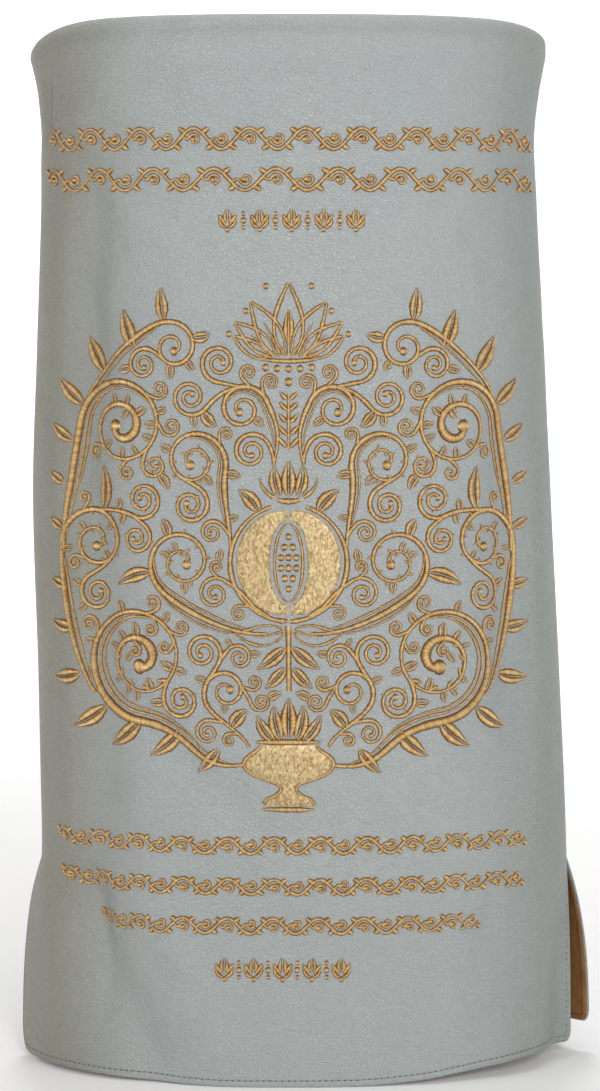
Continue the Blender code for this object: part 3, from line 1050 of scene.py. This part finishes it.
def lotus():
    """The open flower at the top of the wreath."""
    base = 118
    cup = [(x, base - 3 + 0.004 * x * x) for x in range(-22, 23, 2)]
    satin(cup, (1.0, 2.6, 3.2, 2.6, 1.0), False)
    stems.append([(x, y - 1) for x, y in cup if x > 0])
    for x in (0, 7.5, 15):
        bead((x, base - 8 + 0.004 * x * x), 2.2, x > 0)
    open_leaf((0, base), 90, 48, 19, 0, False, 2.0)
    leaf((0, base + 9), 90, 22, 7, 0, False)
    open_leaf((5, base), 68, 41, 15, -0.35, True, 1.8)
    open_leaf((9.5, base), 46, 34, 12, -0.3, True, 1.8)
    open_leaf((13, base), 22, 27, 9, 0.6, True, 1.8)
    for x, y in ((14.8, 163.5), (27.8, 147.5), (38.8, 132.5)):
        bead((x, y), 1.9)


def wreath():
    """Eight pairs of scrolls, the thorns and leaflets on them, and the leaves round the outside."""
    heavy = (2.2, 4.8, 5.6, 3.4, 2.4, 2.2, 3.6, 6.6, 4.6)
    low = scroll((27, -148), -10, 40, (100, -80), 42, -92, 1, 2.0, 5.5, heavy)
    outer = scroll((133.5, -105), 42, 22, (133, -4), 25, -8, 1, 1.75, 3.5, (2.0, 4.6, 3.6, 2.4, 1.8))
    high = scroll((156, -12), 88, 26, (112, 72), 34, 0, 1, 2.0, 4.6, (2.2, 4.6, 5.0, 3.0, 2.2, 3.6, 6.0, 3.6))
    top = scroll((140, 90), 112, 16, (76, 124), 17, 72, 1, 1.5, 3.0, (1.8, 3.8, 2.8, 1.8))
    foot = scroll((26, -137), 74, 12, (41, -100), 15, -20, 1, 1.5, 3.0, (1.8, 3.4, 2.4, 1.7))
    cradle = scroll((14, -62), -8, 20, (70, -16), 24, -62, 1, 1.75, 3.6, (1.8, 4.4, 3.0, 2.0, 1.8))
    shoulder_scroll = scroll((37.8, -9), 92, 16, (62, 50), 22, 200, -1, 1.7, 3.6, (1.8, 4.2, 2.8, 2.0, 1.8))
    neck = scroll((10, 47), 104, 18, (30, 84), 17, 168, -1, 1.6, 3.0, (1.6, 3.8, 2.6, 1.9))
    for line, size in (
        (low, 4.6), (outer, 3.0), (high, 4.0), (top, 2.6), (foot, 2.6), (cradle, 3.0),
        (shoulder_scroll, 3.0), (neck, 2.6),
    ):
        bead(line[-1], size)
    for line, first, last, away, width in (
        (low, 0.03, 0.50, 5.6, 1.9), (low, 0.10, 0.46, 8.8, 1.5), (high, 0.04, 0.48, 5.2, 1.8),
        (high, 0.12, 0.40, 8.0, 1.4), (outer, 0.05, 0.42, 4.6, 1.6), (cradle, 0.06, 0.48, 4.4, 1.7),
        (cradle, 0.10, 0.40, -4.4, 1.6), (shoulder_scroll, 0.10, 0.50, -4.2, 1.6), (neck, 0.08, 0.55, -3.9, 1.5),
        (top, 0.05, 0.5, 4.0, 1.5),
    ):
        strand(line, first, last, away, width)
    thorns(cradle, 0.50, 0.93, 12, 5.2, 1.5)
    thorns(outer, 0.45, 0.92, 13, 5.0, 1.4)
    thorns(shoulder_scroll, 0.52, 0.92, 11, 4.8, 1.4)
    leaflets(low, 0.55, 0.74, 6, 9.0, 3.0, (1,))
    for base, heading, length, width, bend in (
        ((46, -138), -58, 22, 8.5, 0.9), ((72, -127), -52, 27, 10, 0.9), ((100, -121), -52, 28, 10.5, 0.9),
        ((126, -113), -44, 28, 10.5, 0.9), ((145, -92), -22, 24, 9.5, 1.2), ((150, -62), -4, 20, 8.5, 1.6),
        ((155, -34), 2, 15, 7, 2.0), ((157, 4), 16, 14, 6.5, 2.0), ((157, 34), 20, 14, 6.5, 1.6),
        ((151, 62), 20, 19, 8, 1.6), ((143, 86), 30, 24, 9.5, 1.2), ((126, 107), 48, 28, 10.5, 0.8),
        ((103, 124), 62, 26, 10, 0.8), ((82, 141), 78, 22, 8.5, 0.6),
    ):
        leaf(base, heading, length, width, bend)


# Tendrils fill what the scrolls leave free: the widest gap takes the next one, which grows from the nearest
# stem as a small spiral, or as a leaf where there is little room.
GAP_PACE = 1.6
TENDRIL_MOST = 13.0
TENDRIL_LEAST = 2.5
TENDRIL_CLEAR = 1.3
WREATH_REACH = (152, 134)
WREATH_SQUARENESS = 3.2


def edge_points(lines):
    """Every point of some strokes, with half the stroke's width there."""
    rows = []
    for points, widths, _ in lines:
        shares = np.linspace(0, 1, len(points))
        half = np.interp(shares, np.linspace(0, 1, len(widths)), widths) / 2
        rows.append(np.column_stack((points, half)))
    return np.concatenate(rows)


def free_room(places, rows):
    """How far each place is from the nearest of some strokes."""
    room = np.full(len(places), 99.0)
    for start in range(0, len(rows), 200):
        part = rows[start:start + 200]
        away = np.hypot(places[:, None, 0] - part[:, 0], places[:, None, 1] - part[:, 1]) - part[:, 2]
        room = np.minimum(room, away.min(axis=1))
    return room


def fill_gaps():
    reach_x, reach_y = WREATH_REACH
    x, y = np.meshgrid(np.arange(2.0, reach_x, GAP_PACE), np.arange(-reach_y, reach_y, GAP_PACE))
    places = np.column_stack((x.ravel(), y.ravel()))
    within = (places[:, 0] / reach_x) ** WREATH_SQUARENESS + np.abs(places[:, 1] / reach_y) ** WREATH_SQUARENESS
    places = places[within < 1]
    room = np.minimum(free_room(places, edge_points(strokes)), places[:, 0] + 0.6)
    count = 0
    while room.max() - TENDRIL_CLEAR > TENDRIL_LEAST:
        best = int(np.argmax(room))
        radius = min(room[best] - TENDRIL_CLEAR, TENDRIL_MOST)
        before = len(strokes)
        tendril(tuple(places[best]), radius, count)
        room = np.minimum(room, free_room(places, edge_points(strokes[before:])))
        room = np.minimum(room, np.hypot(*(places - places[best]).T) - radius)
        count += 1


def tendril(centre, radius, count):
    """A spiral, or a leaf, that grows from the nearest stem into a gap."""
    line, at = min(
        ((stem, index) for stem in stems for index in range(2, len(stem) - 2)),
        key=lambda pair: math.dist(pair[0][pair[1]], centre),
    )
    root, before, after = line[at], line[at - 1], line[at + 1]
    to_centre = (centre[0] - root[0], centre[1] - root[1])
    left = (after[0] - before[0]) * to_centre[1] - (after[1] - before[1]) * to_centre[0] > 0
    way = 1 if left else -1
    if radius < 4.4 or count % 5 == 3:
        length = math.hypot(*to_centre) + radius * 0.85
        heading = math.degrees(math.atan2(to_centre[1], to_centre[0]))
        leaf(root, heading - way * 18, length, min(9.5, 0.55 * length, 1.9 * radius), way * 36 / length)
        return
    start = line[max(0, at - max(2, round(radius * 0.85)))]
    heading = along([start, line[line.index(start) + 1]], 0.0)[1]
    near = math.degrees(math.atan2(-to_centre[1], -to_centre[0]))
    width = 1.55 + radius * 0.08
    spiral = scroll(
        start, heading, 0.6 * math.dist(start, root) + 0.2, centre, radius, near + way * 20, way,
        1.05 + radius * 0.055, 0.2 * radius, (width * 0.8, width * 1.25, width, width * 0.9, width * 0.9),
    )
    bead(spiral[-1], 0.7 + radius * 0.1)
    if radius > 8 and count % 3 == 0:
        thorns(spiral, 0.3, 0.85, 10, 3.6, 1.2)


ARC_STEPS = np.linspace(-1, 1, 321)
ARC_HEIGHTS = np.arange(-0.66, -0.03, 0.01)


def across_at(side, arc, height):
    """Where across a panel points lie that are an arc's length from its middle line, at their heights."""
    found = np.empty_like(arc)
    lines = []
    for level in ARC_HEIGHTS:
        points = wall(side, ARC_STEPS, np.full_like(ARC_STEPS, level), LEATHER)
        run = np.concatenate(([0.0], np.cumsum(np.linalg.norm(np.diff(points, axis=0), axis=1))))
        lines.append(run - np.interp(0.0, ARC_STEPS, run))
    low = np.clip(((height - ARC_HEIGHTS[0]) / 0.01).astype(int), 0, len(ARC_HEIGHTS) - 2)
    for place in np.unique(low):
        mask = low == place
        part = (height[mask] - ARC_HEIGHTS[place]) / 0.01
        under = np.interp(arc[mask], lines[place], ARC_STEPS)
        over = np.interp(arc[mask], lines[place + 1], ARC_STEPS)
        found[mask] = under + (over - under) * part
    return found


def stitched_mesh(name, lines, shift, height):
    """Raised stitching for some strokes, laid on the front panel. The attribute thread holds how far along
    and how far across its stroke each point is, and a number of the stroke's own."""
    chance = random.Random(7)
    shape = bmesh.new()
    thread = shape.verts.layers.float_vector.new("thread")
    for points, widths, kind in lines:
        points = np.array(points, float)
        count = len(points) - 1
        widest = max(widths)
        cuts = 16 if kind == "fill" else 6 if widest > 3 else 4
        gaps = np.hypot(*np.diff(points, axis=0).T)
        travelled = np.concatenate(([0.0], np.cumsum(gaps)))
        ways = np.gradient(points, axis=0)
        ways /= np.hypot(*ways.T)[:, None]
        half = np.interp(np.linspace(0, 1, count + 1), np.linspace(0, 1, len(widths)), widths) / 2
        if kind == "satin":
            half = half * FULLNESS
        half = half + np.array([chance.uniform(-RAGGED, RAGGED) for _ in range(count + 1)])
        own = chance.random()
        end_gap = np.minimum(travelled, travelled[-1] - travelled)
        ends = np.sqrt(np.clip(end_gap / np.maximum(0.35 * half, 0.25), 0.0, 1.0))
        lift = np.minimum(SATIN_LIFT + SATIN_PADDING * 2 * half, SATIN_MOST)
        made = bmesh.ops.create_grid(shape, x_segments=count, y_segments=cuts, size=1.0)
        for corner in made["verts"]:
            place = round((corner.co.x + 1) / 2 * count)
            aside = corner.co.y
            if kind == "fill":
                aside = math.copysign(1 - (1 - abs(aside)) ** 2, aside)
                rise = min(1.0, (1 - abs(aside)) * half[place] / 0.7) * FILL_LIFT
            else:
                rise = max(0.0, 1 - aside * aside) ** 0.62 * lift[place]
            x = points[place][0] - ways[place][1] * aside * half[place]
            y = points[place][1] + ways[place][0] * aside * half[place]
            corner[thread] = (travelled[place], aside, own)
            corner.co = (x, y, SATIN_BASE + (rise - SATIN_BASE) * ends[place])
        for face in {face for corner in made["verts"] for face in corner.link_faces}:
            face.material_index = 1 if kind == "fill" else 0
    mesh = bpy.data.meshes.new(name)
    shape.to_mesh(mesh)
    shape.free()
    flat = np.empty(len(mesh.vertices) * 3, np.float32)
    mesh.vertices.foreach_get("co", flat)
    flat = flat.reshape(-1, 3).astype(float) * MM
    level = flat[:, 1] + height
    places = wall("front", across_at("front", flat[:, 0] + shift, level), level, LEATHER + flat[:, 2])
    mesh.vertices.foreach_set("co", places.astype(np.float32).ravel())
    mesh.update()
    return mesh


def gold_thread():
    """Rayon embroidery thread in old gold: twisted filament with a silky shine. Each thread's tone differs a little at
    random; the colour is painted paler along each stroke's crown, as a painted highlight, and dark brown at its
    edges, where the threads go down into the leather, as painted shade. A thread is 0.4 mm, drawn here as 1.1 mm."""
    material, tree, shader = new_surface(
        "gold_rayon_thread", Metallic=0.5, Roughness=0.36, Specular_IOR_Level=0.4,
    )
    thread = add_node(tree, "ShaderNodeAttribute", attribute_name="thread", attribute_type="GEOMETRY")
    parts = add_node(tree, "ShaderNodeSeparateXYZ", {"Vector": thread.outputs["Vector"]})
    skew = add_node(tree, "ShaderNodeMath", {
        0: parts.outputs["Y"], 1: 0.55, 2: parts.outputs["X"],
    }, operation="MULTIPLY_ADD")
    turns = add_node(tree, "ShaderNodeMath", {0: skew.outputs[0], 1: math.tau / 1.1}, operation="MULTIPLY")
    wave = add_node(tree, "ShaderNodeMath", {0: turns.outputs[0]}, operation="SINE")
    step = add_node(tree, "ShaderNodeMath", {0: skew.outputs[0], 1: 1 / 1.1}, operation="MULTIPLY")
    whole = add_node(tree, "ShaderNodeMath", {0: step.outputs[0]}, operation="FLOOR")
    pair = add_node(tree, "ShaderNodeCombineXYZ", {"X": whole.outputs[0], "Y": parts.outputs["Z"]})
    each = add_node(tree, "ShaderNodeTexWhiteNoise", {"Vector": pair.outputs[0]}, noise_dimensions="2D")
    edge = add_node(tree, "ShaderNodeMath", {0: parts.outputs["Y"]}, operation="ABSOLUTE")
    # Painted highlight: the thread is painted paler along the crown of each stroke.
    crown = add_node(tree, "ShaderNodeMapRange", {
        "Value": edge.outputs[0], "From Min": 0.0, "From Max": 0.55, "To Min": 0.62, "To Max": 0.0,
    })
    # A random tone for each thread, plus the painted crown highlight.
    chance = add_node(tree, "ShaderNodeMath", {
        0: each.outputs["Value"], 1: 0.6, 2: crown.outputs[0],
    }, operation="MULTIPLY_ADD")
    gold = add_node(tree, "ShaderNodeMix", {
        "Factor": chance.outputs[0], 6: linear("#A87530"), 7: linear("#E6C68C"),
    }, data_type="RGBA")
    # Painted shade: dark brown towards each stroke's edges.
    painted_edge_shade = add_node(tree, "ShaderNodeMapRange", {
        "Value": edge.outputs[0], "From Min": 0.5, "From Max": 0.95, "To Min": 0.0, "To Max": 1.0,
    })
    colour = add_node(tree, "ShaderNodeMix", {
        "Factor": painted_edge_shade.outputs[0], 6: gold.outputs[2], 7: linear("#65360A"),
    }, data_type="RGBA")
    bump = add_node(tree, "ShaderNodeBump", {
        "Height": wave.outputs[0], "Strength": 0.8, "Distance": 0.2 * MM,
    })
    tree.links.new(colour.outputs[2], shader.inputs["Base Color"])
    tree.links.new(bump.outputs[0], shader.inputs["Normal"])
    return material


def gold_fill():
    """The same thread in fill stitch: short flat stitches in staggered rows, each of which catches the light
    on its own, so the area glitters; besides their bump, each stitch's colour is painted darker or paler at random, as
    painted glints."""
    material, tree, shader = new_surface(
        "gold_fill_stitch", Metallic=0.3, Roughness=0.45, Specular_IOR_Level=0.5,
    )
    place = add_node(tree, "ShaderNodeTexCoord").outputs["Object"]
    stretch = add_node(tree, "ShaderNodeMapping", {"Vector": place, "Scale": (1.0, 1.0, 0.6)})
    stitches = add_node(tree, "ShaderNodeTexVoronoi", {
        "Vector": stretch.outputs[0], "Scale": 1 / (1.1 * MM),
    }, feature="F1")
    # Painted glints: each stitch's colour lies at random between dark and pale gold, for the light it catches.
    gold = add_node(tree, "ShaderNodeMix", {
        "Factor": stitches.outputs["Color"], 6: linear("#8C6E3C"), 7: linear("#E4CC9A"),
    }, data_type="RGBA")
    bump = add_node(tree, "ShaderNodeBump", {
        "Height": stitches.outputs["Color"], "Strength": 0.8, "Distance": 0.3 * MM,
    })
    tree.links.new(gold.outputs[2], shader.inputs["Base Color"])
    tree.links.new(bump.outputs[0], shader.inputs["Normal"])
    return material


satin_gold = gold_thread()
fill_gold = gold_fill()


def add_stitching(name, shift, height):
    """The strokes drawn so far become one piece of raised stitching."""
    mesh = stitched_mesh(name, strokes, shift, height)
    piece = link_object(name, mesh, satin_gold)
    mesh.materials.append(fill_gold)
    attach(piece, "root")
    strokes.clear()
    stems.clear()


pomegranate()
stalk_and_root()
urn()
lotus()
wreath()
fill_gaps()
add_stitching("medallion", MEDALLION_SHIFT, MEDALLION_HEIGHT)


# Ornament rows
# Narrow bands of the same satin stitch above and below the medallion: long waving vines with a spiral in each
# bend, and two short bands of buds.
Row = namedtuple("Row", "name middle height reach tall kind")
ROWS = (
    Row("upper_vine", 0.000, -0.0735, 182, 16.5, "vine"),
    Row("middle_vine", 0.000, -0.0997, 182, 17.0, "vine"),
    Row("upper_buds", 0.000, -0.1262, 52, 16.0, "buds"),
    Row("lower_vine", -0.004, -0.5335, 168, 13.0, "vine"),
    Row("foot_vine", -0.004, -0.5605, 166, 13.0, "vine"),
    Row("hem_vine", -0.005, -0.5865, 134, 13.0, "vine"),
    Row("hem_buds", -0.006, -0.6155, 48, 17.0, "buds"),
)


def vine_row(reach, tall):
    """A waving stem from end to end. Each bend holds a spiral, and a leaflet sits outside it."""
    bends = 2 * round(reach / (tall * 1.15))
    half_wave = 2 * reach / bends
    rise = tall / 2 - 1.6
    xs = np.arange(-reach, reach + 0.1, 1.2)
    stem = [(float(x), float(rise * math.cos(math.pi * (x + reach) / half_wave - math.pi / 2))) for x in xs]
    satin(stem, (1.6, 2.6, 2.6, 1.6), False)
    for bend in range(bends):
        x = -reach + half_wave * (bend + 0.5)
        up = 1 if bend % 2 == 0 else -1
        radius = tall * 0.25
        centre = (x + 0.8, up * (rise - 3.1 - radius))
        entry = 180 - up * 12
        start = (x - half_wave / 2 + 0.6, up * 0.8)
        spiral = scroll(start, up * 50, tall * 0.14, centre, radius, entry, -up, 1.0, 1.3, (1.6, 2.3, 1.9, 1.8), False)
        bead(spiral[-1], 1.7, False)
        for side in (-1, 1):
            root = (x + side * half_wave * 0.30, up * rise * 0.60)
            heading = 90 * up + side * -up * 58
            satin(curl(root, heading, tall * 0.36, (0, 0), 0.8), (1.4, 3.4, 2.9, 0.6), False)


def bud_row(reach, tall):
    """Buds on short stalks, with curling leaves between them."""
    count = 5
    gap = 2 * reach / count
    for place in range(count):
        x = -reach + gap * (place + 0.5)
        leaf((x, -tall * 0.12), 90, tall * 0.62, tall * 0.36, 0, False)
        for side in (-1, 1):
            satin(curl((x + side * 1.4, -tall * 0.16), 90 - side * 34, tall * 0.52, (side * 1.0, -side * 4.0), 0.8),
                  (1.4, 3.0, 2.6, 0.7), False)
            satin(curl((x + side * 0.6, -tall * 0.30), 90 - side * 70, tall * 0.52, (side * 3.0, side * 16.0), 0.8),
                  (1.8, 2.5, 2.1, 1.4), False)
        bead((x, -tall * 0.36), 1.7, False)
        if place < count - 1:
            bead((x + gap / 2, 0.0), 2.0, False)
            bead((x + gap / 2, tall * 0.28), 1.4, False)
            bead((x + gap / 2, -tall * 0.28), 1.4, False)


for row in ROWS:
    if row.kind == "vine":
        vine_row(row.reach, row.tall)
    else:
        bud_row(row.reach, row.tall)
    add_stitching(row.name, row.middle, row.height)


for side in ("front", "back"):
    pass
